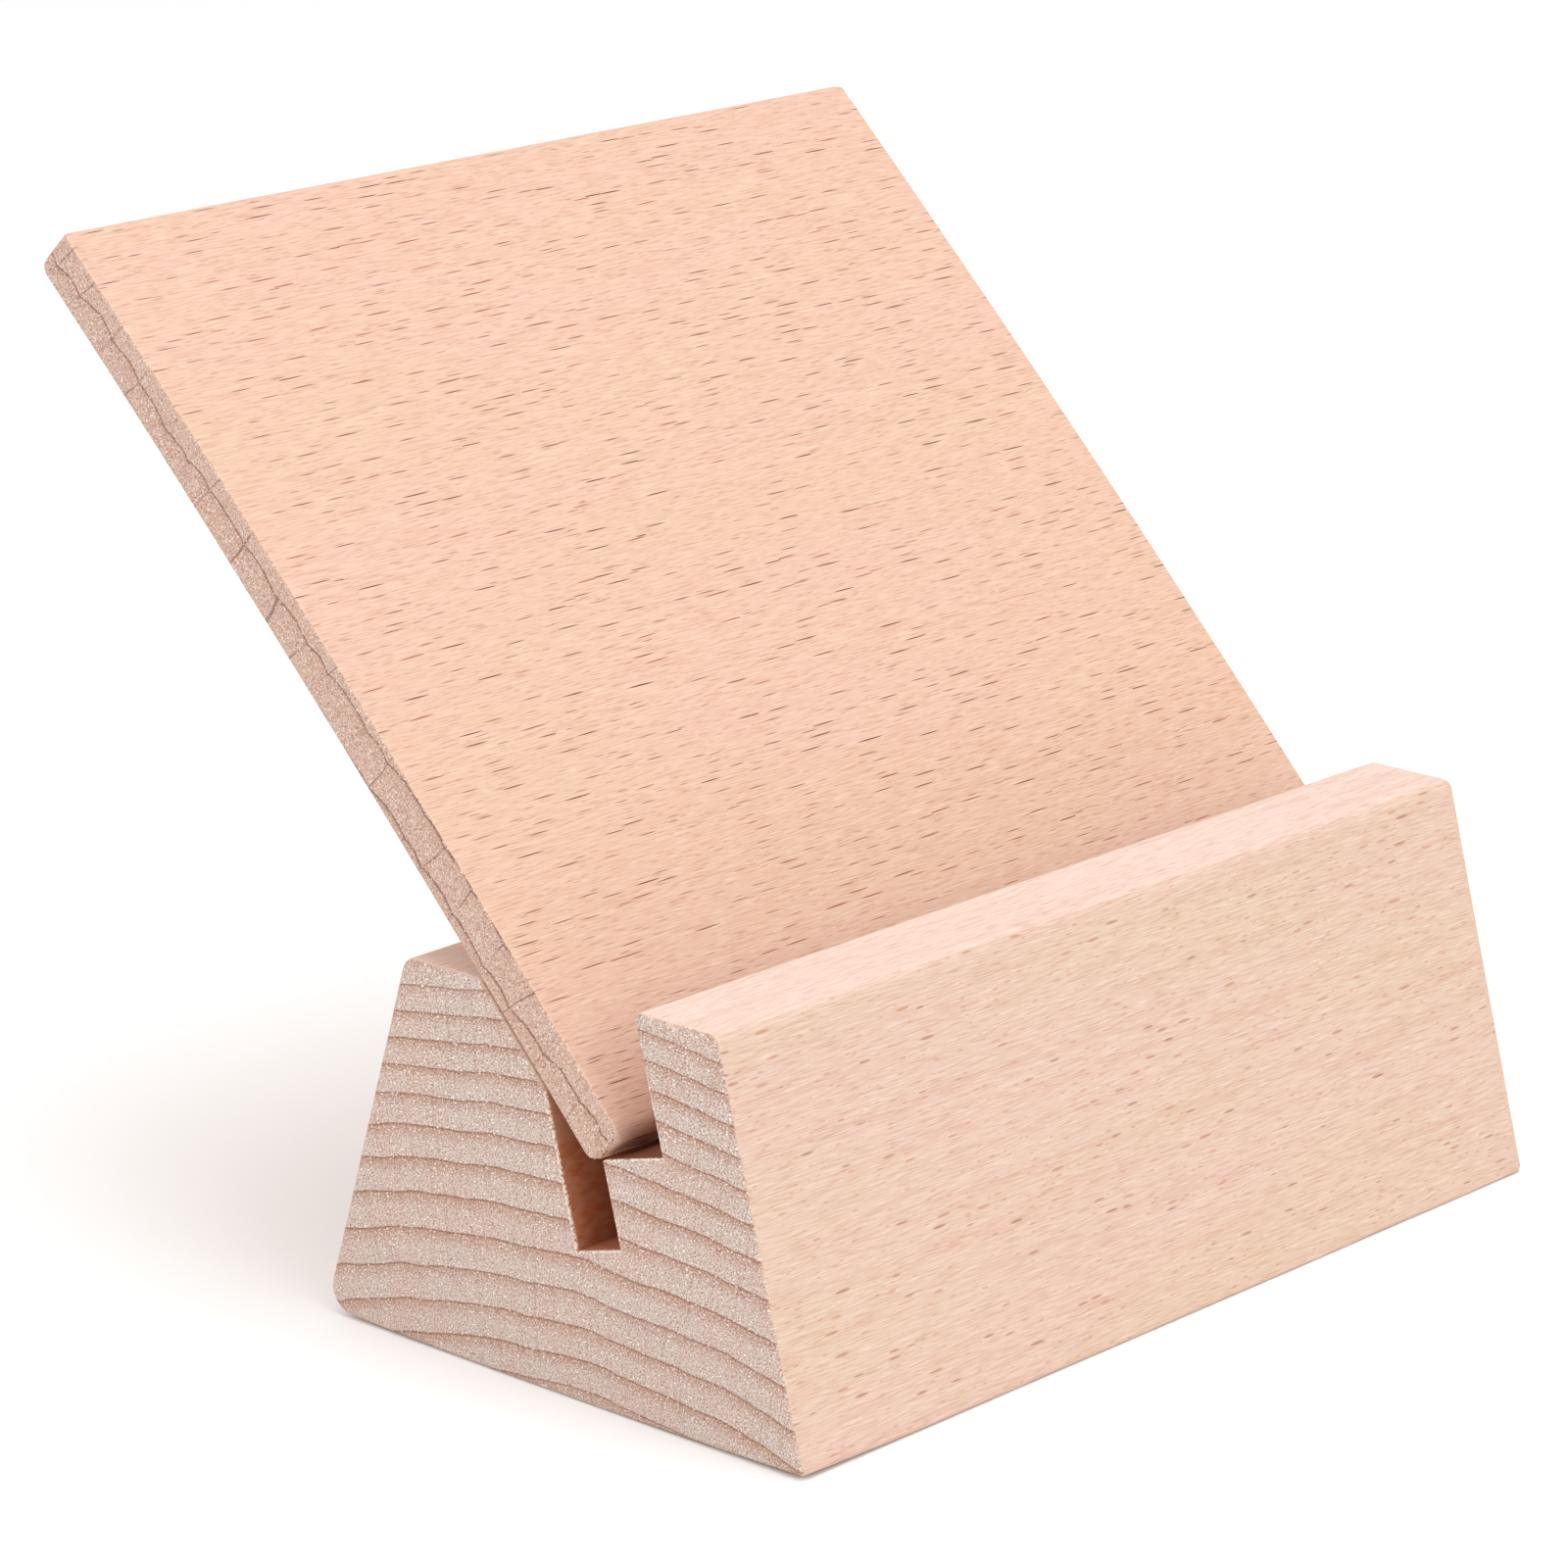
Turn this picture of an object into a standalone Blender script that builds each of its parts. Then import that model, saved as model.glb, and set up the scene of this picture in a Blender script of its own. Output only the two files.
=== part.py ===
"""Tablet stand: a grooved hardwood block and the loose thin board that leans in it.

World frame, metres: +Z up, the lip faces -Y, the block runs along X, underside on Z = 0.
Two solid pieces. The board lifts out of the block's groove along the saddle face.
"""

import bmesh
import bpy
from math import cos, pi, radians, sin, tan
from mathutils import Matrix, Vector

# Block, overall
BLOCK_LENGTH = 0.1318
FOOT_DEPTH = 0.0727
LIP_HEIGHT = 0.0469
REAR_HEIGHT = 0.0452
LIP_SETBACK = 0.0129
REAR_SETBACK = 0.0132

# Groove, measured across (u, rearward) and up (v) in a frame tilted back by GROOVE_TILT
GROOVE_TILT = radians(15.5)
LIP_WALL_U = 0.0115
STEP_U = 0.0206
DEEP_WALL_U = 0.0273
LEDGE_V = 0.0357
DEEP_FLOOR_V = 0.0257
SADDLE_FOOT_V = 0.0437
SADDLE_ANGLE = radians(46.4)

# Rounding of the block's edges
LIP_FRONT_R = 0.0016
LIP_REAR_R = 0.0008
SADDLE_TOP_R = 0.0010
REAR_TOP_R = 0.0020
REAR_FOOT_R = 0.0031
FRONT_FOOT_R = 0.0005
LEFT_END_R = 0.0005
RIGHT_END_R = 0.0009

# Board
BOARD_WIDTH = 0.1318
BOARD_LENGTH = 0.1222
BOARD_THICK = 0.0060
BOARD_LEAN = radians(45.1)
BOARD_CROWN = 0.0010
BOARD_FOOT_DROP = 0.00995
BOARD_STEPS = 24
BOARD_TOP_FRONT_R = 0.0012
BOARD_TOP_BACK_R = 0.0022
BOARD_FOOT_R = 0.0018
BOARD_SIDE_R = 0.0005
BEVEL_SEGMENTS = 4


def clear_objects():
    """Start from an empty file."""
    for obj in list(bpy.data.objects):
        bpy.data.objects.remove(obj, do_unlink=True)


def wood_material(name, colour, roughness):
    """Plain bare wood for one piece."""
    mat = bpy.data.materials.new(name)
    mat.use_nodes = True
    bsdf = mat.node_tree.nodes["Principled BSDF"]
    bsdf.inputs["Base Color"].default_value = (*colour, 1.0)
    bsdf.inputs["Roughness"].default_value = roughness
    mat.diffuse_color = (*colour, 1.0)
    return mat


def groove_point(u, v):
    """A point of the tilted groove frame, as (y, z) with y measured from the foot's centre."""
    y = u * cos(GROOVE_TILT) + v * sin(GROOVE_TILT)
    z = v * cos(GROOVE_TILT) - u * sin(GROOVE_TILT)
    return (y - FOOT_DEPTH / 2, z)


def block_section():
    """The block's outline in the YZ plane, with the rounding of the long edge at each corner."""
    half = FOOT_DEPTH / 2
    lip_v = (LIP_HEIGHT + LIP_WALL_U * sin(GROOVE_TILT)) / cos(GROOVE_TILT)
    saddle_foot = groove_point(DEEP_WALL_U, SADDLE_FOOT_V)
    saddle_run = (REAR_HEIGHT - saddle_foot[1]) / tan(SADDLE_ANGLE)
    return [
        ((-half, 0.0), FRONT_FOOT_R),
        ((-half + LIP_SETBACK, LIP_HEIGHT), LIP_FRONT_R),
        (groove_point(LIP_WALL_U, lip_v), LIP_REAR_R),
        (groove_point(LIP_WALL_U, LEDGE_V), 0.0),
        (groove_point(STEP_U, LEDGE_V), 0.0),
        (groove_point(STEP_U, DEEP_FLOOR_V), 0.0),
        (groove_point(DEEP_WALL_U, DEEP_FLOOR_V), 0.0),
        (saddle_foot, 0.0),
        ((saddle_foot[0] + saddle_run, REAR_HEIGHT), SADDLE_TOP_R),
        ((half - REAR_SETBACK, REAR_HEIGHT), REAR_TOP_R),
        ((half, 0.0), REAR_FOOT_R),
    ]


def arc(centre, radius, start, end, steps):
    """Points along a circular arc, ends included."""
    points = []
    for i in range(steps + 1):
        angle = start + (end - start) * i / steps
        points.append((centre[0] + radius * cos(angle), centre[1] + radius * sin(angle)))
    return points


def crown(s):
    """Height of the board's bow above its straight chord, at the distance s up the board."""
    t = s / BOARD_LENGTH
    return 4 * BOARD_CROWN * t * (1 - t)


def board_section():
    """The board's side outline: s up the board, n out of its back, all four corners rounded."""
    foot = BOARD_FOOT_R
    back = BOARD_TOP_BACK_R
    front = BOARD_TOP_FRONT_R
    last = BOARD_LENGTH - max(back, front)
    stations = [foot + (last - foot) * i / BOARD_STEPS for i in range(1, BOARD_STEPS)]
    points = arc((foot, crown(foot) + foot), foot, -pi, -pi / 2, BEVEL_SEGMENTS)
    points += [(s, crown(s)) for s in stations]
    points += arc((BOARD_LENGTH - back, crown(last) + back), back, -pi / 2, 0.0, BEVEL_SEGMENTS)
    front_centre = (BOARD_LENGTH - front, crown(last) + BOARD_THICK - front)
    points += arc(front_centre, front, 0.0, pi / 2, BEVEL_SEGMENTS)
    points += [(s, crown(s) + BOARD_THICK) for s in reversed(stations)]
    points += arc((foot, crown(foot) + BOARD_THICK - foot), foot, pi / 2, pi, BEVEL_SEGMENTS)
    return points


def prism(name, outline, x_low, x_high, edge_radii, low_radius, high_radius, material):
    """Extrude a closed (y, z) outline along X; long and end edges get their own rounding."""
    largest = max(max(edge_radii), low_radius, high_radius)
    bm = bmesh.new()
    weight = bm.edges.layers.float.new("bevel_weight_edge")
    low = [bm.verts.new((x_low, y, z)) for y, z in outline]
    high = [bm.verts.new((x_high, y, z)) for y, z in outline]
    bm.faces.new(low)
    bm.faces.new(list(reversed(high)))
    count = len(outline)
    for i in range(count):
        j = (i + 1) % count
        bm.faces.new((low[j], low[i], high[i], high[j]))
    for i in range(count):
        j = (i + 1) % count
        bm.edges.get((low[i], high[i]))[weight] = edge_radii[i] / largest
        bm.edges.get((low[i], low[j]))[weight] = low_radius / largest
        bm.edges.get((high[i], high[j]))[weight] = high_radius / largest
    bmesh.ops.recalc_face_normals(bm, faces=bm.faces)
    mesh = bpy.data.meshes.new(name)
    bm.to_mesh(mesh)
    bm.free()
    mesh.materials.append(material)
    mesh.polygons.foreach_set("use_smooth", [True] * len(mesh.polygons))
    obj = bpy.data.objects.new(name, mesh)
    bpy.context.scene.collection.objects.link(obj)
    rounding = obj.modifiers.new("edge_rounding", "BEVEL")
    rounding.limit_method = "WEIGHT"
    rounding.width = largest
    rounding.segments = BEVEL_SEGMENTS
    rounding.use_clamp_overlap = False
    rounding.harden_normals = True
    return obj


def build_block(material):
    """The solid block with its stepped, tilted groove."""
    section = block_section()
    half = BLOCK_LENGTH / 2
    outline = [point for point, _ in section]
    radii = [radius for _, radius in section]
    return prism("base_block", outline, -half, half, radii, LEFT_END_R, RIGHT_END_R, material)


def build_board(material):
    """The thin bowed board. Its origin is the foot of its back, on the saddle's line."""
    outline = board_section()
    half = BOARD_WIDTH / 2
    radii = [0.0] * len(outline)
    board = prism("back_board", outline, -half, half, radii, BOARD_SIDE_R, BOARD_SIDE_R, material)
    foot_y, foot_z = groove_point(DEEP_WALL_U, SADDLE_FOOT_V)
    drop = BOARD_FOOT_DROP
    origin = Vector((0.0, foot_y - drop * cos(BOARD_LEAN), foot_z - drop * sin(BOARD_LEAN)))
    board.matrix_world = Matrix.Translation(origin) @ Matrix.Rotation(BOARD_LEAN, 4, "X")
    return board


clear_objects()
build_block(wood_material("beech_block", (0.72, 0.52, 0.38), 0.62))
build_board(wood_material("beech_board", (0.78, 0.53, 0.35), 0.55))
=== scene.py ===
"""Looks of the tablet stand: two pieces of bare sanded beech on a pale floor in soft light.

Lengths are metres unless a name ends in _MM. The wood materials work in millimetres,
because the grain's details are fractions of one.
"""

from math import cos, exp, pi, radians, sin, sqrt, tan

import bmesh
import bpy
from mathutils import Matrix, Vector, noise


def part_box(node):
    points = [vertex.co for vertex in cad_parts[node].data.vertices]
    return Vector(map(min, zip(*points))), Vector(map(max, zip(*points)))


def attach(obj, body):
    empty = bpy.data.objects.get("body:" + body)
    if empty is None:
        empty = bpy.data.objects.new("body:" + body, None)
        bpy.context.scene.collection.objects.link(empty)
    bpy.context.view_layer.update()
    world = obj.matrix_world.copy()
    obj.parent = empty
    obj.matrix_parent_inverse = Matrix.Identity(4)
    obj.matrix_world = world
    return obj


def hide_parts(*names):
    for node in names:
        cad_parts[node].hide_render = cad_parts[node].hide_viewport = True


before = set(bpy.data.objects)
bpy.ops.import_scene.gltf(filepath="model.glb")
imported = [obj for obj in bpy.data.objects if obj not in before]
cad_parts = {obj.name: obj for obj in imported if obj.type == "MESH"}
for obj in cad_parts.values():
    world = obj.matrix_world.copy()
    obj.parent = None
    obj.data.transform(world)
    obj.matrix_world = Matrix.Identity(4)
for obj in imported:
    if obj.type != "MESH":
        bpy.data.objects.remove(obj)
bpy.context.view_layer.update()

MM = 0.001

# Block, the same driving sizes as the CAD part
BLOCK_LOW, BLOCK_HIGH = (Vector(corner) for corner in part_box("base_block"))
FOOT_DEPTH = 0.0727
LIP_HEIGHT = 0.0469
REAR_HEIGHT = 0.0452
LIP_SETBACK = 0.0129
REAR_SETBACK = 0.0132
GROOVE_TILT = radians(15.5)
LIP_WALL_U = 0.0115
STEP_U = 0.0206
DEEP_WALL_U = 0.0273
LEDGE_V = 0.0357
DEEP_FLOOR_V = 0.0257
SADDLE_FOOT_V = 0.0437
SADDLE_ANGLE = radians(46.4)

# Rounding of the block's edges; the groove's inner edges are left as sawn
FRONT_FOOT_R = 0.0005
LIP_FRONT_R = 0.0016
LIP_REAR_R = 0.0008
SAWN_EDGE_R = 0.0002
SADDLE_TOP_R = 0.0010
REAR_TOP_R = 0.0020
REAR_FOOT_R = 0.0031
LEFT_END_R = 0.0006
RIGHT_END_R = 0.0023
SMALLEST_R = 0.00015

# Board, the same driving sizes as the CAD part
BOARD_LOW, BOARD_HIGH = (Vector(corner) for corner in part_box("back_board"))
BOARD_LENGTH = 0.1222
BOARD_THICK = 0.0060
BOARD_LEAN = radians(45.1)
BOARD_CROWN = 0.0010
BOARD_FOOT_DROP = 0.00995
BOARD_SIDE_R = 0.0004
BOARD_TOP_FRONT_R = 0.0012
BOARD_TOP_BACK_R = 0.0022
BOARD_FOOT_R = 0.0018
BOARD_PLAN_R = 0.0016
BOARD_SMALLEST_R = 0.0002

# Mesh density
ARC_STEPS = 6
END_STEPS = 5
BLOCK_STEP = 0.0025
BOARD_STEP = 0.0040
SHARP_ANGLE = radians(42)

# Hand sanding: the block's long edges are worn unevenly, and both pieces' faces wander a little
WEAR = 0.25
WEAR_LENGTH = 0.018
WAVE = 0.00004
WAVE_LENGTH = 0.020
WAVE_SEED = 1
FLAT_FOOT = 0.002
BOARD_CALM_FOOT = 0.020

# The block's bottom edge rises a little towards its left end
BELLY_LIFT = 0.0005
BELLY_REACH = 0.030
BELLY_HEIGHT = 0.012

# A small chip in the left end of the lip's top
CHIP_RADIUS = 0.0008
CHIP_DEPTH = 0.0006
CHIP_BEHIND_EDGE = 0.00625
CHIP_PULL = Vector((0.6, 0.0, -1.0))

# Stage
FLOOR_REACH = 6.0
FLOOR_COLOUR = (0.91, 0.91, 0.91, 1.0)
SKY_STRENGTH = 0.84
LIGHT_AIM = Vector((0.0, 0.0, 0.05))

# Camera
AZIMUTH = radians(-48.24)
ELEVATION = radians(16.62)
ROLL = radians(0.52)
LENS = 141.6
SENSOR = 36.0
TARGET = Vector((-0.0009, 0.0254, 0.0504))
DISTANCE = 0.7237


def groove_point(u, v):
    """A point of the tilted groove frame, as (y, z) with y measured from the foot's centre."""
    y = u * cos(GROOVE_TILT) + v * sin(GROOVE_TILT)
    z = v * cos(GROOVE_TILT) - u * sin(GROOVE_TILT)
    return Vector((y - FOOT_DEPTH / 2, z))


def block_corners():
    """The block's section corners, front foot first and over the top, each with its rounding."""
    half = FOOT_DEPTH / 2
    lip_v = (LIP_HEIGHT + LIP_WALL_U * sin(GROOVE_TILT)) / cos(GROOVE_TILT)
    saddle_foot = groove_point(DEEP_WALL_U, SADDLE_FOOT_V)
    saddle_run = (REAR_HEIGHT - saddle_foot.y) / tan(SADDLE_ANGLE)
    return [
        (Vector((-half, 0.0)), FRONT_FOOT_R),
        (Vector((-half + LIP_SETBACK, LIP_HEIGHT)), LIP_FRONT_R),
        (groove_point(LIP_WALL_U, lip_v), LIP_REAR_R),
        (groove_point(LIP_WALL_U, LEDGE_V), 0.0),
        (groove_point(STEP_U, LEDGE_V), SAWN_EDGE_R),
        (groove_point(STEP_U, DEEP_FLOOR_V), 0.0),
        (groove_point(DEEP_WALL_U, DEEP_FLOOR_V), 0.0),
        (saddle_foot, SAWN_EDGE_R),
        (Vector((saddle_foot.x + saddle_run, REAR_HEIGHT)), SADDLE_TOP_R),
        (Vector((half - REAR_SETBACK, REAR_HEIGHT)), REAR_TOP_R),
        (Vector((half, 0.0)), REAR_FOOT_R),
    ]


# For each side of the section, from the front face over the top to the underside: its share of the
# rounding at either end, since the groove's sides keep a saw's crisp edge, and its divisions
LEFT_SHARES = [1.0, 1.0, 0.3, 0.2, 0.2, 0.2, 0.2, 0.6, 1.0, 1.0, 1.0]
RIGHT_SHARES = [1.0, 1.0, 1.0, 0.2, 0.2, 0.2, 0.2, 0.8, 1.0, 1.0, 1.0]
SIDE_STEPS = [0.002, 0.0005, 0.001, 0.001, 0.001, 0.001, 0.001, 0.001, 0.001, 0.002, 0.002]


def turned(vector, angle):
    """A 2-D vector turned by an angle."""
    return Vector((
        vector.x * cos(angle) - vector.y * sin(angle),
        vector.x * sin(angle) + vector.y * cos(angle),
    ))


def inset_corner(point, before, after, inset_before, inset_after):
    """The corner where two sides meet after each has moved into the wood."""
    a = Vector((before.y, -before.x))
    b = Vector((after.y, -after.x))
    det = a.x * b.y - a.y * b.x
    shift = Vector((
        (inset_before * b.y - a.y * inset_after) / det,
        (a.x * inset_after - b.x * inset_before) / det,
    ))
    return point + shift


def edge_wear(x, corner):
    """How much rounder or sharper than usual one of the block's long edges is at one station."""
    return 1 + WEAR * noise.noise(Vector((x / WEAR_LENGTH, 7.3 * corner, 0.5)))


def section_ring(corners, inset, x):
    """The section's outline at one station: rounded corners joined by evenly divided sides."""
    insets = [inset * share for share in (LEFT_SHARES if x < 0 else RIGHT_SHARES)]
    count = len(corners)
    heads = [(corners[(i + 1) % count][0] - corners[i][0]).normalized() for i in range(count)]
    arcs = []
    for i, (point, radius) in enumerate(corners):
        before, after = heads[i - 1], heads[i]
        place = inset_corner(point, before, after, insets[i - 1], insets[i])
        if radius == 0.0:
            arcs.append([place])
            continue
        bend = before.angle(after)
        size = max(radius * edge_wear(x, i) - inset, SMALLEST_R)
        run = size * tan(bend / 2)
        inward = Vector((before.y, -before.x))
        centre = place - before * run + inward * size
        turns = [-bend * k / ARC_STEPS for k in range(ARC_STEPS + 1)]
        arcs.append([centre + turned(-inward * size, turn) for turn in turns])
    ring = []
    for i in range(count):
        ring += arcs[i]
        start, end = arcs[i][-1], arcs[(i + 1) % count][0]
        span = (corners[(i + 1) % count][0] - corners[i][0]).length
        steps = max(1, round(span / SIDE_STEPS[i]))
        ring += [start.lerp(end, k / steps) for k in range(1, steps)]
    return ring


def end_stations(low, high, low_radius, high_radius, step):
    """Positions along X with their inset: a quarter round at each end, even steps between."""
    stations = []
    for k in range(END_STEPS + 1):
        turn = k / END_STEPS * pi / 2
        stations.append((low + low_radius * (1 - cos(turn)), low_radius * (1 - sin(turn))))
    start, end = low + low_radius, high - high_radius
    steps = round((end - start) / step)
    stations += [(start + (end - start) * k / steps, 0.0) for k in range(1, steps)]
    for k in range(END_STEPS, -1, -1):
        turn = k / END_STEPS * pi / 2
        stations.append((high - high_radius * (1 - cos(turn)), high_radius * (1 - sin(turn))))
    return stations


def loft(name, rings, material):
    """A closed mesh through matching rings of points, with flat ends."""
    bm = bmesh.new()
    loops = [[bm.verts.new(point) for point in ring] for ring in rings]
    count = len(rings[0])
    for a, b in zip(loops, loops[1:]):
        for i in range(count):
            j = (i + 1) % count
            bm.faces.new((a[i], a[j], b[j], b[i]))
    bm.faces.new(loops[0])
    bm.faces.new(list(reversed(loops[-1])))
    bmesh.ops.recalc_face_normals(bm, faces=bm.faces)
    mesh = bpy.data.meshes.new(name)
    bm.to_mesh(mesh)
    bm.free()
    mesh.materials.append(material)
    mesh.polygons.foreach_set("use_smooth", [True] * len(mesh.polygons))
    mesh.set_sharp_from_angle(angle=SHARP_ANGLE)
    obj = bpy.data.objects.new(name, mesh)
    bpy.context.scene.collection.objects.link(obj)
    shading = obj.modifiers.new("face_weighted_normals", "WEIGHTED_NORMAL")
    shading.weight = 100
    shading.keep_sharp = True
    return obj


def wander(point):
    """Slow, small drift of a sanded surface at one place, across the grain only."""
    drift = noise.noise_vector(point / WAVE_LENGTH) * WAVE
    drift.x = 0.0
    return drift


def block_vertex(x, point):
    """One point of the block's skin, with the marks of hand sanding near the left end."""
    place = Vector((x, point.x, point.y))
    low_down = max(0.0, 1 - place.z / BELLY_HEIGHT)
    near_end = max(0.0, 1 - (x - BLOCK_LOW.x) / BELLY_REACH) ** 2
    across = (2 * place.y / FOOT_DEPTH) ** 2
    drift = wander(place) * min(1.0, place.z / FLAT_FOOT)
    place.z += BELLY_LIFT * low_down * near_end * across
    chip_y = -FOOT_DEPTH / 2 + LIP_SETBACK + CHIP_BEHIND_EDGE
    chip = Vector((BLOCK_LOW.x, chip_y, LIP_HEIGHT))
    near_chip = exp(-((place - chip).length / CHIP_RADIUS) ** 2)
    return place + CHIP_PULL * CHIP_DEPTH * near_chip + drift


def build_block(material):
    """The grooved block, replacing its CAD solid with softly worn edges."""
    corners = block_corners()
    rings = []
    for x, inset in end_stations(BLOCK_LOW.x, BLOCK_HIGH.x, LEFT_END_R, RIGHT_END_R, BLOCK_STEP):
        rings.append([block_vertex(x, point) for point in section_ring(corners, inset, x)])
    block = loft("beech_block", rings, material)
    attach(block, "block")
    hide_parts("base_block")


# Extra stations near the board's ends, in from each end, so that its plan corners come out round
PLAN_STATIONS = [0.0008, 0.0013, 0.0020]


def crown(s):
    """Height of the board's bow above its straight chord, at the distance s up the board."""
    t = s / BOARD_LENGTH
    return 4 * BOARD_CROWN * t * (1 - t)


def quarter(centre_s, centre_n, radius, start):
    """A quarter circle of the board's side outline."""
    turns = [start + pi / 2 * k / ARC_STEPS for k in range(ARC_STEPS + 1)]
    return [(centre_s + radius * cos(a), centre_n + radius * sin(a)) for a in turns]


def board_ring(inset):
    """The board's side outline (s up the board, n out of its back) at one station."""
    foot, top_back, top_front = (
        max(radius - inset, BOARD_SMALLEST_R)
        for radius in (BOARD_FOOT_R, BOARD_TOP_BACK_R, BOARD_TOP_FRONT_R)
    )
    low_s, high_s = inset + foot, BOARD_LENGTH - inset
    back, front = inset, BOARD_THICK - inset
    last_s = high_s - max(top_back, top_front)
    steps = round((last_s - low_s) / BOARD_STEP)
    sides = [low_s + (last_s - low_s) * k / steps for k in range(1, steps)]
    bow = crown(last_s)
    ring = quarter(low_s, crown(low_s) + back + foot, foot, pi)
    ring += [(s, crown(s) + back) for s in sides]
    ring += quarter(high_s - top_back, bow + back + top_back, top_back, 1.5 * pi)
    ring += quarter(high_s - top_front, bow + front - top_front, top_front, 0.0)
    ring += [(s, crown(s) + front) for s in reversed(sides)]
    ring += quarter(low_s, crown(low_s) + front - foot, foot, pi / 2)
    return ring


def round_plan_corner(x, s, low, high):
    """Pull a point inside the rounded corners of the board's outline as seen from its face."""
    edge = min(x - low, high - x)
    across = BOARD_PLAN_R - edge
    for end in (s, BOARD_LENGTH - s):
        along = BOARD_PLAN_R - end
        if across > 0 and along > 0:
            reach = sqrt(across ** 2 + along ** 2)
            if reach > BOARD_PLAN_R:
                pull = 1 - BOARD_PLAN_R / reach
                x += across * pull if x - low < high - x else -across * pull
                s += along * pull if end == s else -along * pull
    return x, s


def build_board(material):
    """The thin bowed board, replacing its CAD solid."""
    foot = groove_point(DEEP_WALL_U, SADDLE_FOOT_V)
    lean = Vector((cos(BOARD_LEAN), sin(BOARD_LEAN)))
    out = Vector((-lean.y, lean.x))
    origin = foot - lean * BOARD_FOOT_DROP
    stations = end_stations(BOARD_LOW.x, BOARD_HIGH.x, BOARD_SIDE_R, BOARD_SIDE_R, BOARD_STEP)
    for side in PLAN_STATIONS:
        stations += [(BOARD_LOW.x + side, 0.0), (BOARD_HIGH.x - side, 0.0)]
    stations.sort()
    rings = []
    for x, inset in stations:
        ring = []
        for s, n in board_ring(inset):
            px, ps = round_plan_corner(x, s, BOARD_LOW.x, BOARD_HIGH.x)
            flat = origin + lean * ps + out * n
            place = Vector((px, flat.x, flat.y))
            ring.append(place + wander(place) * min(1.0, ps / BOARD_CALM_FOOT))
        rings.append(ring)
    board = loft("beech_board", rings, material)
    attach(board, "board")
    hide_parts("back_board")


class Graph:
    """Short calls for building one material's nodes."""

    def __init__(self, name):
        self.material = bpy.data.materials.new(name)
        self.material.use_nodes = True
        self.tree = self.material.node_tree
        self.shader = self.tree.nodes["Principled BSDF"]
        coordinates = self.tree.nodes.new("ShaderNodeTexCoord")
        self.place = self.vector("SCALE", coordinates.outputs["Object"], scale=1 / MM)
        self.normal = coordinates.outputs["Normal"]

    def wire(self, value, socket):
        """Put a number, a colour or another node's output into a socket."""
        if isinstance(value, bpy.types.NodeSocket):
            self.tree.links.new(value, socket)
        else:
            socket.default_value = value

    def math(self, operation, a, b=0.0, clamp=False):
        node = self.tree.nodes.new("ShaderNodeMath")
        node.operation = operation
        node.use_clamp = clamp
        self.wire(a, node.inputs[0])
        self.wire(b, node.inputs[1])
        return node.outputs[0]

    def vector(self, operation, a, b=(0.0, 0.0, 0.0), scale=1.0):
        node = self.tree.nodes.new("ShaderNodeVectorMath")
        node.operation = operation
        self.wire(a, node.inputs[0])
        self.wire(b, node.inputs[1])
        if operation == "SCALE":
            node.inputs["Scale"].default_value = scale
        return node.outputs["Value"] if operation == "LENGTH" else node.outputs["Vector"]

    def split(self, vector):
        node = self.tree.nodes.new("ShaderNodeSeparateXYZ")
        self.wire(vector, node.inputs[0])
        return node.outputs[0], node.outputs[1], node.outputs[2]

    def join(self, x, y, z):
        node = self.tree.nodes.new("ShaderNodeCombineXYZ")
        for value, socket in zip((x, y, z), node.inputs):
            self.wire(value, socket)
        return node.outputs[0]

    def fade(self, value, low, high, to_low=0.0, to_high=1.0):
        """A smooth step from to_low at low to to_high at high."""
        node = self.tree.nodes.new("ShaderNodeMapRange")
        node.interpolation_type = "SMOOTHSTEP"
        self.wire(value, node.inputs["Value"])
        node.inputs["From Min"].default_value = low
        node.inputs["From Max"].default_value = high
        node.inputs["To Min"].default_value = to_low
        node.inputs["To Max"].default_value = to_high
        return node.outputs[0]

    def noise(self, vector, scale=1.0, detail=2.0, roughness=0.5):
        """Noise centred on zero, roughly from -0.5 to 0.5."""
        node = self.tree.nodes.new("ShaderNodeTexNoise")
        self.wire(vector, node.inputs["Vector"])
        node.inputs["Scale"].default_value = scale
        node.inputs["Detail"].default_value = detail
        node.inputs["Roughness"].default_value = roughness
        return self.math("SUBTRACT", node.outputs["Fac"], 0.5)

    def cells(self, vector):
        """Scattered points: the offset from the nearest one, and its random numbers."""
        node = self.tree.nodes.new("ShaderNodeTexVoronoi")
        self.wire(vector, node.inputs["Vector"])
        node.inputs["Scale"].default_value = 1.0
        offset = self.vector("SUBTRACT", vector, node.outputs["Position"])
        return offset, self.split(node.outputs["Color"])

    def mix(self, amount, a, b):
        node = self.tree.nodes.new("ShaderNodeMix")
        node.data_type = "RGBA"
        self.wire(amount, node.inputs["Factor"])
        self.wire(a, node.inputs["A"])
        self.wire(b, node.inputs["B"])
        return node.outputs["Result"]

    def bump(self, height, strength, distance):
        node = self.tree.nodes.new("ShaderNodeBump")
        node.inputs["Strength"].default_value = strength
        node.inputs["Distance"].default_value = distance
        self.wire(height, node.inputs["Height"])
        return node.outputs[0]


def stretched(graph, place, x, y, z):
    """Coordinates divided by a grain detail's size along each axis, in millimetres."""
    return graph.vector("MULTIPLY", place, (1 / x, 1 / y, 1 / z))


# Largest slant of a fleck across the grain, as a slope
FLECK_SLANT = 0.0125


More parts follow.
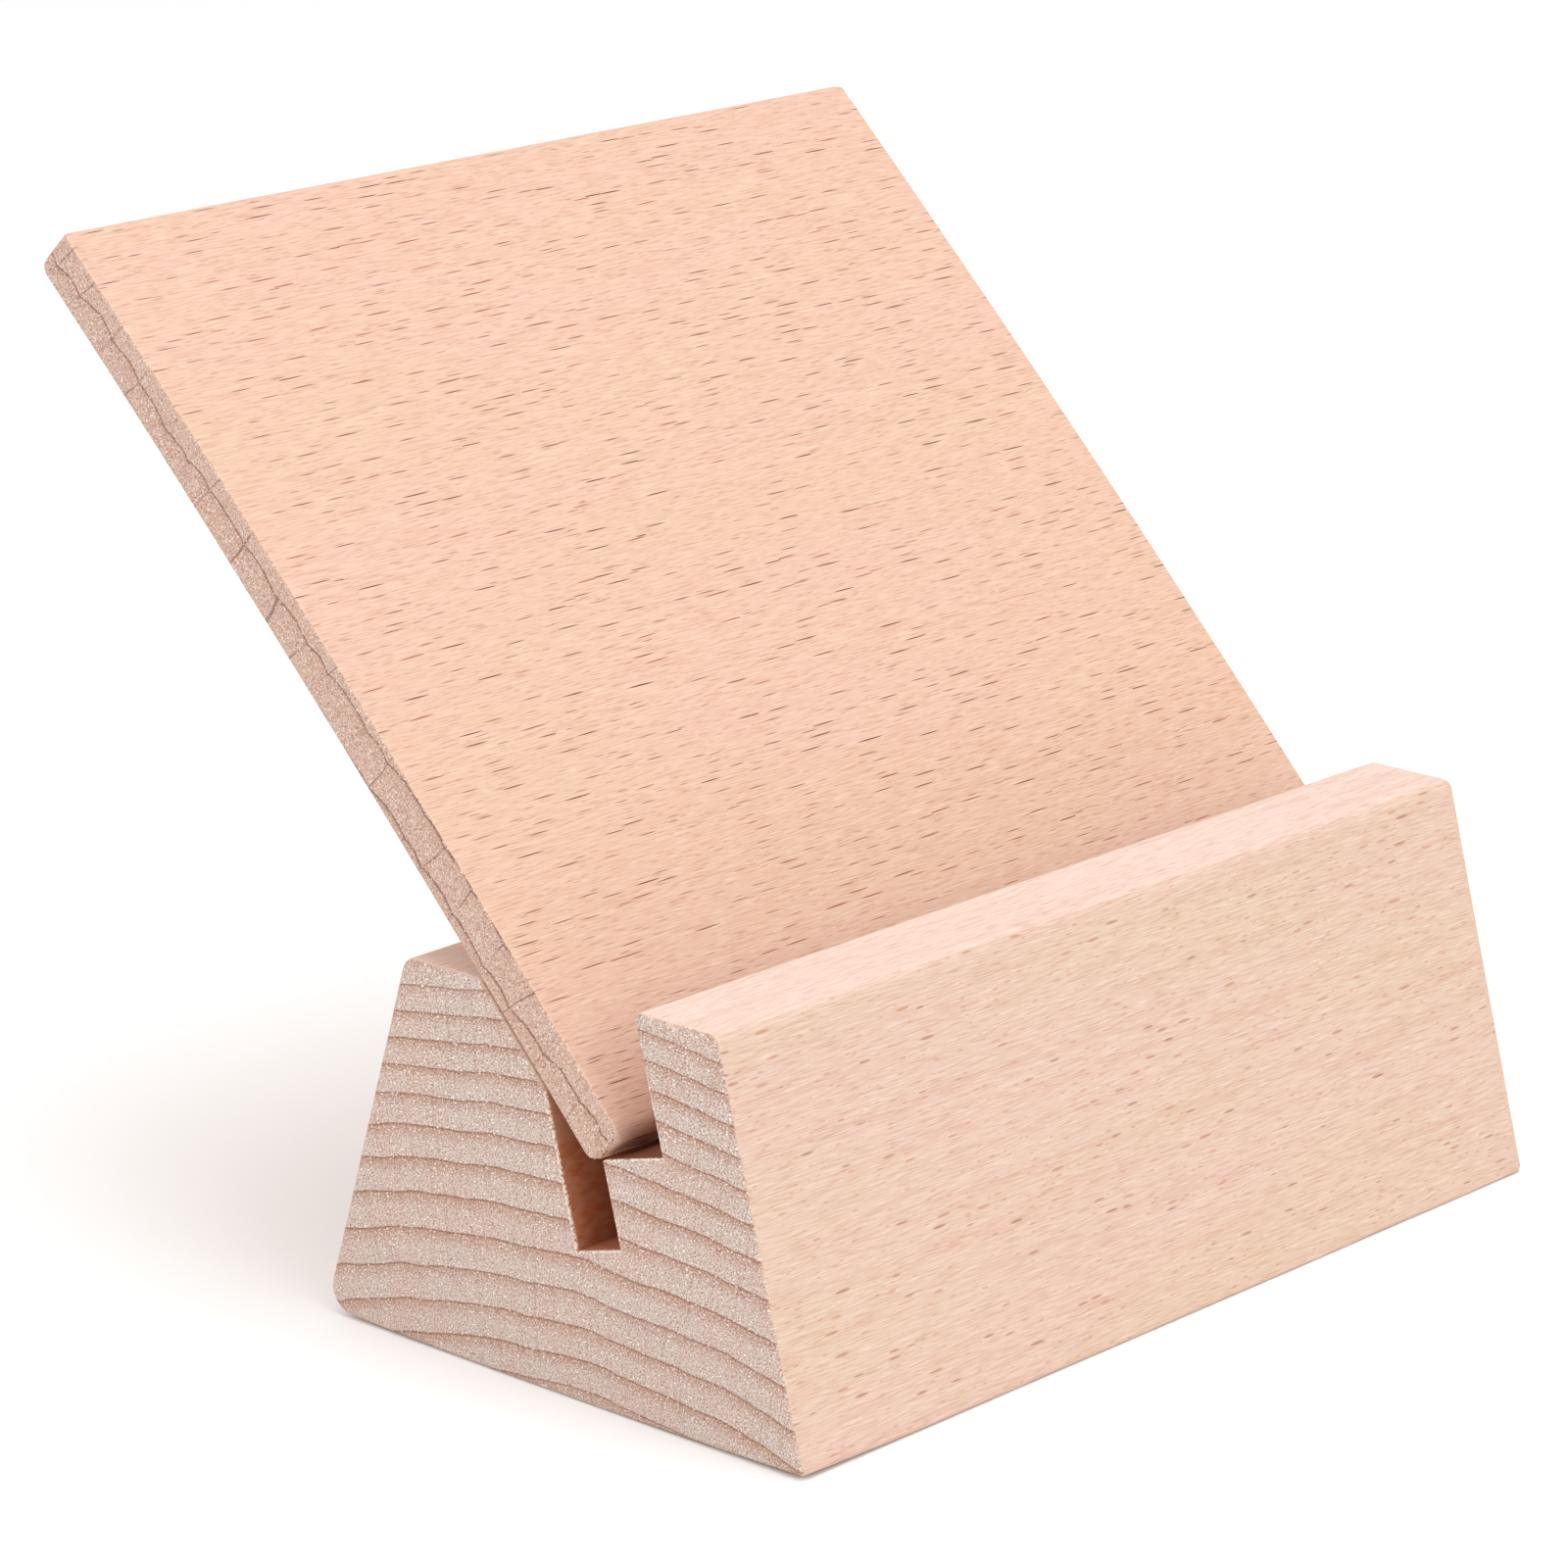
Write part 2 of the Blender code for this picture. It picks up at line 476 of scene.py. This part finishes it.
def specks(graph, place, spacing, size, share):
    """Scattered soft spindles, at most one per cell: 1 inside one, 0 between them, and its shade.

    The sizes are half lengths in millimetres, spacing is the cell's size and share is how many
    cells hold one."""
    offset, (pick, vary, lean) = graph.cells(stretched(graph, place, *spacing))
    along, across, depth = graph.split(graph.vector("MULTIPLY", offset, spacing))
    slope = graph.math("MULTIPLY", graph.math("SUBTRACT", lean, 0.5), 2 * FLECK_SLANT)
    across = graph.math("ADD", across, graph.math("MULTIPLY", along, slope))
    unit = stretched(graph, graph.join(along, across, depth), *size)
    reach = graph.math("ADD", graph.math("MULTIPLY", vary, 1.1), 0.45)
    distance = graph.math("DIVIDE", graph.vector("LENGTH", unit), reach)
    chosen = graph.fade(pick, share, share - 0.01)
    return graph.math("MULTIPLY", graph.fade(distance, 1.0, 0.5), chosen), lean


def ring_bands(graph, years):
    """Late wood of each growth ring, and the fine line where it stops, from a count of years."""
    part = graph.math("FRACT", years)
    year = graph.math("MULTIPLY", graph.math("FLOOR", years), 5.3)
    weather = graph.fade(graph.noise(graph.join(year, 0.0, 0.0)), -0.22, 0.22, 0.6, 1.0)
    late = graph.math("MULTIPLY", graph.fade(part, 0.46, 0.94), graph.fade(part, 1.0, 0.985))
    late = graph.math("MULTIPLY", late, weather)
    line = graph.math("MULTIPLY", graph.fade(part, 0.90, 0.96), graph.fade(part, 1.0, 0.975))
    return late, line


def from_ray(graph, place, spacing):
    """How far around the pith the nearest broad ray is, as a share of the rays' uneven spacing."""
    _, around, _ = graph.split(place)
    uneven = graph.noise(stretched(graph, place, 200.0, 9.0, 30.0), detail=1.0)
    count = graph.math("ADD", graph.math("DIVIDE", around, spacing), graph.math("MULTIPLY", uneven, 1.6))
    return graph.math("ABSOLUTE", graph.math("SUBTRACT", graph.math("FRACT", count), 0.5))


def broad_rays(graph, place, spacing, width):
    """The few broad rays: thin lines straight out from the pith, now strong and now faint."""
    share = width / spacing
    line = graph.fade(from_ray(graph, place, spacing), share / 2, share, 1.0, 0.0)
    strength = graph.fade(graph.noise(stretched(graph, place, 200.0, 6.0, 5.0)), -0.1, 0.15, 0.25, 1.0)
    return graph.math("MULTIPLY", line, strength)


def side_grain(graph, place, late, look):
    """Colour of the long faces: slow drift, fine fibres, and the brown ends of the rays; upward faces
    are painted paler, partly as painted highlight.
    """
    drift = graph.noise(stretched(graph, place, 60.0, 12.0, 12.0), detail=3.0)
    fibre = graph.noise(stretched(graph, place, 3.2, 0.10, 0.10), detail=1.5, roughness=0.6)
    streak = graph.noise(stretched(graph, place, 34.0, 1.1, 1.1), detail=3.0, roughness=0.55)
    side = graph.mix(graph.fade(drift, -0.2, 0.2), look["side_pink"], look["side_warm"])
    # Upward faces painted paler and pinker with fewer flecks: partly the paler tangential grain, partly
    # painted highlight from the overhead light.
    upward_tint_and_highlight = graph.fade(graph.split(graph.normal)[2], 0.75, 0.97, 0.0, look["top_tint_and_highlight"])
    side = graph.mix(upward_tint_and_highlight, side, look["top"])
    side = graph.mix(graph.math("MULTIPLY", late, look["side_ring"]), side, look["side_late"])
    side = graph.mix(graph.fade(streak, 0.0, 0.24, 0.0, look["streak"]), side, look["side_dark"])
    side = graph.mix(graph.fade(fibre, 0.0, 0.22, 0.0, look["fibre"]), side, look["fibre_dark"])
    side = graph.mix(graph.fade(fibre, -0.22, 0.0, look["fibre"], 0.0), side, look["side_pale"])
    fewer = graph.math("SUBTRACT", 1.0, graph.math("MULTIPLY", upward_tint_and_highlight, 0.9))
    small, _ = specks(graph, place, *look["small_fleck"])
    small = graph.math("MULTIPLY", graph.math("MULTIPLY", small, fewer), look["small_strength"])
    side = graph.mix(small, side, look["fleck_red"])
    fleck, shade = specks(graph, place, *look["fleck"])
    fleck = graph.math("MULTIPLY", fleck, fewer)
    fleck_colour = graph.mix(shade, look["fleck_red"], look["fleck_dark"])
    side = graph.mix(graph.math("MULTIPLY", fleck, look["fleck_strength"]), side, fleck_colour)
    return side, fleck, fibre


def end_grain(graph, place, late, line, look):
    """Colour of the cut ends: greyer, with rings, thin rays, open pores and tiny painted glints."""
    haze = graph.noise(stretched(graph, place, 20.0, 6.0, 6.0), detail=3.0)
    tissue = graph.noise(stretched(graph, place, 1.0, 0.19, 0.19), detail=2.0, roughness=0.7)
    fine_rays = graph.noise(stretched(graph, place, 40.0, 0.22, 6.0), detail=2.0)
    grain = graph.mix(graph.fade(haze, -0.2, 0.2), look["end_grey"], look["end_pink"])
    grain = graph.mix(graph.math("MULTIPLY", late, look["end_ring"]), grain, look["end_late"])
    grain = graph.mix(graph.fade(fine_rays, 0.04, 0.24, 0.0, 0.4), grain, look["end_late"])
    grain = graph.mix(graph.fade(tissue, 0.0, 0.18, 0.0, 0.95), grain, look["end_pale"])
    grain = graph.mix(graph.fade(tissue, -0.18, -0.01, 0.95, 0.0), grain, look["end_late"])
    line = graph.math("MULTIPLY", line, graph.fade(tissue, -0.3, 0.2, 1.0, 0.5))
    grain = graph.mix(graph.math("MULTIPLY", line, look["end_line"]), grain, look["end_edge"])
    rays = broad_rays(graph, place, look["ray_spacing"], look["ray_width"])
    grain = graph.mix(graph.math("MULTIPLY", rays, look["ray_strength"]), grain, look["end_edge"])
    pore, _ = specks(graph, place, *PORES)
    # Tiny near-white specks on the end grain: painted glints.
    glints, _ = specks(graph, place, *END_GLINTS)
    grain = graph.mix(graph.math("MULTIPLY", pore, 0.8), grain, look["end_edge"])
    grain = graph.mix(graph.math("MULTIPLY", glints, 0.85), grain, look["end_glint"])
    return grain, pore


def beech(name, local, years, look):
    """Bare sanded beech. local() gives wood-aligned coordinates, years() the ring count there."""
    graph = Graph(name)
    place = local(graph)
    end = graph.fade(graph.math("ABSOLUTE", graph.split(graph.normal)[0]), 0.45, 0.85)
    late, line = ring_bands(graph, years(graph, place))
    side, fleck, fibre = side_grain(graph, place, late, look)
    grain, pore = end_grain(graph, place, late, line, look)
    return graph, graph.mix(end, side, grain), end, fleck, fibre, pore


def finish_wood(graph, colour, end, fleck, fibre, pore, roughness):
    """Roughness and relief shared by both pieces."""
    graph.wire(colour, graph.shader.inputs["Base Color"])
    rough = graph.math("ADD", roughness, graph.math("MULTIPLY", fibre, 0.25))
    rough = graph.math("ADD", rough, graph.math("MULTIPLY", end, 0.14), clamp=True)
    graph.wire(rough, graph.shader.inputs["Roughness"])
    side_relief = graph.math("SUBTRACT", graph.math("MULTIPLY", fibre, 0.6), fleck)
    end_relief = graph.math("MULTIPLY", pore, -0.8)
    relief = graph.math("ADD", graph.math("MULTIPLY", side_relief, graph.math("SUBTRACT", 1.0, end)),
                        graph.math("MULTIPLY", end_relief, end))
    graph.wire(graph.bump(relief, 0.35, 0.00008), graph.shader.inputs["Normal"])
    graph.shader.inputs["Specular IOR Level"].default_value = 0.5
    return graph.material


# The block's pith lies below it and a little to the front. Its years are wider and narrower by turns
PITH_Y_MM = -6.3
PITH_Z_MM = -109.8
RING_MM = 3.55
FIRST_RING_MM = 112.5
WIDE_YEARS_MM = 1.3
WIDE_YEARS_FROM_MM = 126.5
WIDE_YEARS_CYCLE_MM = 54.0
RING_WAVER_MM = 2.2
RING_RIPPLE_MM = 0.35

# The board's rings lie nearly flat in it, dip a little at each broad ray, and wander by parts of a year
BOARD_RING_MM = 4.6
BOARD_RAY_MM = 6.0
SCALLOP_MM = 0.9
BOARD_RING_SLOPE = 0.045
BOARD_WAVER_YEARS = 0.7
BOARD_RIPPLE_YEARS = 0.16
BOARD_FIRST_YEAR = 0.35


def block_local(graph):
    """Block wood coordinates: along the grain, around the pith, out from the pith."""
    x, y, z = graph.split(graph.place)
    dy = graph.math("SUBTRACT", y, PITH_Y_MM)
    dz = graph.math("SUBTRACT", z, PITH_Z_MM)
    radius = graph.vector("LENGTH", graph.join(0.0, dy, dz))
    around = graph.math("MULTIPLY", graph.math("ARCTAN2", dy, dz), -PITH_Z_MM)
    return graph.join(x, around, radius)


def block_years(graph, place):
    """Ring count in the block: uneven years and a slow waver along each ring."""
    _, _, radius = graph.split(place)
    waver = graph.noise(stretched(graph, place, 90.0, 15.0, 40.0), detail=2.0)
    ripple = graph.noise(stretched(graph, place, 60.0, 2.2, 8.0), detail=3.0)
    cycle = graph.math("MULTIPLY", graph.math("SUBTRACT", radius, WIDE_YEARS_FROM_MM),
                       2 * pi / WIDE_YEARS_CYCLE_MM)
    wide = graph.math("MULTIPLY", graph.math("SINE", cycle), WIDE_YEARS_MM)
    reach = graph.math("SUBTRACT", graph.math("SUBTRACT", radius, FIRST_RING_MM), wide)
    reach = graph.math("ADD", reach, graph.math("MULTIPLY", waver, RING_WAVER_MM))
    reach = graph.math("ADD", reach, graph.math("MULTIPLY", ripple, RING_RIPPLE_MM))
    return graph.math("DIVIDE", reach, RING_MM)


def board_local(graph):
    """Board wood coordinates: along the grain, up the board, out through its face."""
    foot = groove_point(DEEP_WALL_U, SADDLE_FOOT_V) / MM
    x, y, z = graph.split(graph.place)
    dy = graph.math("SUBTRACT", y, foot.x)
    dz = graph.math("SUBTRACT", z, foot.y)
    up = graph.math("ADD", graph.math("MULTIPLY", dy, cos(BOARD_LEAN)),
                    graph.math("MULTIPLY", dz, sin(BOARD_LEAN)))
    out = graph.math("SUBTRACT", graph.math("MULTIPLY", dz, cos(BOARD_LEAN)),
                     graph.math("MULTIPLY", dy, sin(BOARD_LEAN)))
    return graph.join(x, up, out)


def board_years(graph, place):
    """Ring count in the board: the rings run the length of it and meander through its thickness."""
    _, up, out = graph.split(place)
    waver = graph.noise(stretched(graph, place, 80.0, 22.0, 60.0), detail=2.0)
    ripple = graph.noise(stretched(graph, place, 40.0, 3.0, 12.0), detail=2.0)
    scallop = graph.math("POWER", from_ray(graph, place, BOARD_RAY_MM), 0.6)
    depth = graph.math("ADD", out, graph.math("MULTIPLY", up, BOARD_RING_SLOPE))
    depth = graph.math("ADD", depth, graph.math("MULTIPLY", scallop, -SCALLOP_MM))
    years = graph.math("DIVIDE", depth, BOARD_RING_MM)
    years = graph.math("ADD", years, graph.math("MULTIPLY", waver, BOARD_WAVER_YEARS))
    years = graph.math("ADD", years, graph.math("MULTIPLY", ripple, BOARD_RIPPLE_YEARS))
    return graph.math("ADD", years, BOARD_FIRST_YEAR)


def rgb(red, green, blue):
    """A colour from display values of 0 to 255, as linear light."""
    linear = []
    for value in (red, green, blue):
        part = value / 255
        linear.append(part / 12.92 if part <= 0.04045 else ((part + 0.055) / 1.055) ** 2.4)
    return (*linear, 1.0)


# Scattered marks, here and in the two looks: the spacing of the cells that may hold one and its half
# lengths, both in millimetres along the grain, across it and into the wood, then the share that do
PORES = ((2.0, 0.42, 0.42), (2.0, 0.075, 0.08), 0.5)
# Tiny near-white specks on the end grain: painted glints.
END_GLINTS = ((1.7, 0.50, 0.50), (1.7, 0.10, 0.06), 0.35)

BLOCK_ROUGHNESS = 0.58
BOARD_ROUGHNESS = 0.54
BLOCK_LOOK = {
    "side_pink": rgb(213, 182, 164),
    "side_warm": rgb(211, 183, 159),
    "side_late": rgb(202, 162, 142),
    "side_dark": rgb(204, 154, 130),
    "side_pale": rgb(229, 208, 195),
    "fibre_dark": rgb(184, 140, 116),
    "side_ring": 0.22,
    "streak": 0.35,
    "fibre": 0.58,
    # Upward faces: paler, pinker colour, partly tangential grain and partly painted highlight from the
    # overhead light.
    "top": rgb(224, 200, 189),
    "top_tint_and_highlight": 0.8,
    "fleck": ((4.0, 0.36, 2.4), (1.0, 0.105, 0.15), 0.9),
    "fleck_strength": 0.68,
    "fleck_red": rgb(196, 132, 102),
    "fleck_dark": rgb(148, 92, 64),
    "small_fleck": ((2.0, 0.36, 1.1), (0.5, 0.12, 0.12), 0.9),
    "small_strength": 0.5,
    "end_grey": rgb(189, 172, 162),
    "end_pink": rgb(191, 166, 154),
    "end_late": rgb(160, 112, 86),
    "end_edge": rgb(120, 72, 48),
    "end_pale": rgb(228, 217, 209),
    # Colour of the painted glints on the end grain.
    "end_glint": rgb(250, 246, 242),
    "end_ring": 0.9,
    "end_line": 0.9,
    "ray_spacing": 2.6,
    "ray_width": 0.16,
    "ray_strength": 0.15,
}
BOARD_LOOK = {
    **BLOCK_LOOK,
    "side_pink": rgb(214, 175, 155),
    "side_warm": rgb(213, 177, 151),
    "side_late": rgb(203, 159, 131),
    "side_dark": rgb(204, 150, 118),
    "side_pale": rgb(232, 205, 185),
    "fibre_dark": rgb(180, 126, 94),
    "side_ring": 0.18,
    "streak": 0.1,
    "fibre": 0.5,
    "top_tint_and_highlight": 0.0,
    "fleck": ((4.6, 1.2, 0.7), (1.8, 0.068, 0.25), 0.95),
    "fleck_strength": 1.0,
    "fleck_red": rgb(158, 84, 48),
    "fleck_dark": rgb(84, 30, 8),
    "small_fleck": ((2.2, 0.60, 0.6), (0.8, 0.055, 0.26), 0.8),
    "small_strength": 0.45,
    "end_grey": rgb(190, 160, 144),
    "end_pink": rgb(191, 156, 140),
    "end_late": rgb(166, 118, 92),
    "end_edge": rgb(92, 44, 20),
    "end_pale": rgb(224, 204, 190),
    "end_ring": 0.4,
    "end_line": 0.95,
    "ray_spacing": BOARD_RAY_MM,
    "ray_width": 0.16,
    "ray_strength": 0.65,
}
BURN = rgb(172, 92, 46)
# Painted shade for the ledge's inner corner.
LEDGE_CORNER_SHADE = rgb(92, 42, 20)
TORN = rgb(238, 218, 203)


def groove_depth(graph):
    """Distance into the wood from the groove's walls, and the place across and up the groove."""
    x, y, z = graph.split(graph.place)
    fore = graph.math("ADD", y, FOOT_DEPTH / 2 / MM)
    u = graph.math("SUBTRACT", graph.math("MULTIPLY", fore, cos(GROOVE_TILT)),
                   graph.math("MULTIPLY", z, sin(GROOVE_TILT)))
    v = graph.math("ADD", graph.math("MULTIPLY", fore, sin(GROOVE_TILT)),
                   graph.math("MULTIPLY", z, cos(GROOVE_TILT)))
    upper = graph.math("MAXIMUM", graph.math("SUBTRACT", LIP_WALL_U / MM, u),
                       graph.math("SUBTRACT", LEDGE_V / MM, v))
    lower = graph.math("MAXIMUM", graph.math("SUBTRACT", STEP_U / MM, u),
                       graph.math("SUBTRACT", DEEP_FLOOR_V / MM, v))
    behind = graph.math("SUBTRACT", u, DEEP_WALL_U / MM)
    return graph.math("MAXIMUM", behind, graph.math("MINIMUM", upper, lower)), u, v


def scorched_and_shaded(graph, colour, inside, across, height):
    """The groove's walls as the saw left them: brown with the saw's burn, plus painted shade that
    deepens towards the ledge and is darkest in the ledge's inner corner.
    """
    ledge = LEDGE_V / MM
    saw = graph.noise(graph.vector("MULTIPLY", graph.place, (0.5, 3.0, 1.0)), detail=3.0)
    # The burn is painted stronger low down near the ledge: painted shade of the deep groove.
    burn_and_shade = graph.math("MULTIPLY", graph.fade(saw, -0.3, 0.3, 0.7, 1.0),
                      graph.fade(height, ledge + 0.2, ledge + 4.0, 1.0, 0.75))
    burn_and_shade = graph.math("MULTIPLY", graph.math("MULTIPLY", inside, burn_and_shade), below_saddle(graph, height))
    colour = graph.mix(burn_and_shade, colour, BURN)
    # Painted shade: a near-black brown in the ledge's inner corner by the step, where the board's foot
    # shades it.
    corner = graph.math("MULTIPLY", graph.fade(height, ledge + 2.2, ledge + 0.3),
                        graph.fade(across, STEP_U / MM + 0.1, STEP_U / MM - 0.6))
    return graph.mix(graph.math("MULTIPLY", graph.math("MULTIPLY", inside, corner), 0.8), colour, LEDGE_CORNER_SHADE)


def below_saddle(graph, height):
    """1 in the groove below the foot of the saddle, fading out up the saddle."""
    return graph.fade(height, SADDLE_FOOT_V / MM + 3.0, SADDLE_FOOT_V / MM - 0.3)


def torn(graph, colour, depth, height):
    """A ragged pale line where the saw tore the fibres along the groove's edges at either end."""
    x, _, _ = graph.split(graph.place)
    from_end = graph.math("SUBTRACT", BLOCK_HIGH.x / MM, graph.math("ABSOLUTE", x))
    ragged = graph.noise(graph.place, scale=3.0, detail=3.0)
    near_wall = graph.fade(graph.math("ADD", depth, ragged), 0.20, 0.04)
    near_end = graph.fade(graph.math("ADD", from_end, ragged), 0.45, 0.15)
    edge = graph.math("MULTIPLY", near_wall, near_end)
    return graph.mix(graph.math("MULTIPLY", edge, below_saddle(graph, height)), colour, TORN)


def block_material():
    """Beech for the block, burnt brown by the saw inside the groove with painted shade in its depths,
    and with torn pale edges.
    """
    graph, colour, end, fleck, fibre, pore = beech("beech_block", block_local, block_years, BLOCK_LOOK)
    depth, across, height = groove_depth(graph)
    on_side = graph.math("SUBTRACT", 1.0, end)
    inside = graph.math("MULTIPLY", graph.fade(depth, 0.35, 0.15), on_side)
    colour = scorched_and_shaded(graph, colour, inside, across, height)
    colour = torn(graph, colour, depth, height)
    return finish_wood(graph, colour, end, fleck, fibre, pore, BLOCK_ROUGHNESS)


def board_material():
    """Beech for the board, a shade warmer, with thinner and darker flecks."""
    graph, colour, end, fleck, fibre, pore = beech("beech_board", board_local, board_years, BOARD_LOOK)
    return finish_wood(graph, colour, end, fleck, fibre, pore, BOARD_ROUGHNESS)


def plain_material(name, colour, roughness):
    """A plain pale surface for the stage."""
    material = bpy.data.materials.new(name)
    material.use_nodes = True
    shader = material.node_tree.nodes["Principled BSDF"]
    shader.inputs["Base Color"].default_value = colour
    shader.inputs["Roughness"].default_value = roughness
    shader.inputs["Specular IOR Level"].default_value = 0.2
    return material


def build_floor():
    """A wide pale floor."""
    far = FLOOR_REACH
    mesh = bpy.data.meshes.new("floor")
    corners = [(-far, -far, 0), (far, -far, 0), (far, far, 0), (-far, far, 0)]
    mesh.from_pydata(corners, [], [(0, 1, 2, 3)])
    mesh.materials.append(plain_material("pale_floor", FLOOR_COLOUR, 0.8))
    floor = bpy.data.objects.new("floor", mesh)
    bpy.context.scene.collection.objects.link(floor)


def soft_light(name, place, size, power):
    """A large square softbox, aimed at the object."""
    light = bpy.data.lights.new(name, "AREA")
    light.shape = "SQUARE"
    light.size = size
    light.energy = power
    obj = bpy.data.objects.new(name, light)
    obj.location = place
    obj.rotation_euler = (LIGHT_AIM - Vector(place)).to_track_quat("-Z", "Y").to_euler()
    bpy.context.scene.collection.objects.link(obj)


def build_light():
    """A bright tent: an even sky with softboxes overhead, in front and to the left."""
    world = bpy.data.worlds.new("tent")
    world.use_nodes = True
    world.node_tree.nodes["Background"].inputs["Color"].default_value = (1.0, 1.0, 1.0, 1.0)
    world.node_tree.nodes["Background"].inputs["Strength"].default_value = SKY_STRENGTH
    bpy.context.scene.world = world
    soft_light("overhead", (0.1, -0.2, 1.3), 1.1, 8.0)
    soft_light("front", (-0.2, -1.3, 0.8), 0.9, 4.3)
    soft_light("left", (-1.2, 0.3, 0.7), 0.8, 4.5)


def build_camera():
    """A long lens from the front left, a little above."""
    back = Vector((sin(AZIMUTH) * cos(ELEVATION), -cos(AZIMUTH) * cos(ELEVATION), sin(ELEVATION)))
    right = Vector((0, 0, 1)).cross(back).normalized()
    up = back.cross(right)
    right, up = right * cos(ROLL) + up * sin(ROLL), up * cos(ROLL) - right * sin(ROLL)
    data = bpy.data.cameras.new("camera")
    data.sensor_width = SENSOR
    data.lens = LENS
    camera = bpy.data.objects.new("camera", data)
    turn = Matrix((right, up, back)).transposed().to_4x4()
    camera.matrix_world = Matrix.Translation(TARGET + back * DISTANCE) @ turn
    bpy.context.scene.collection.objects.link(camera)
    bpy.context.scene.camera = camera


noise.seed_set(WAVE_SEED)
build_camera()
build_block(block_material())
build_board(board_material())
build_floor()
build_light()
bpy.context.scene.view_settings.view_transform = "Standard"
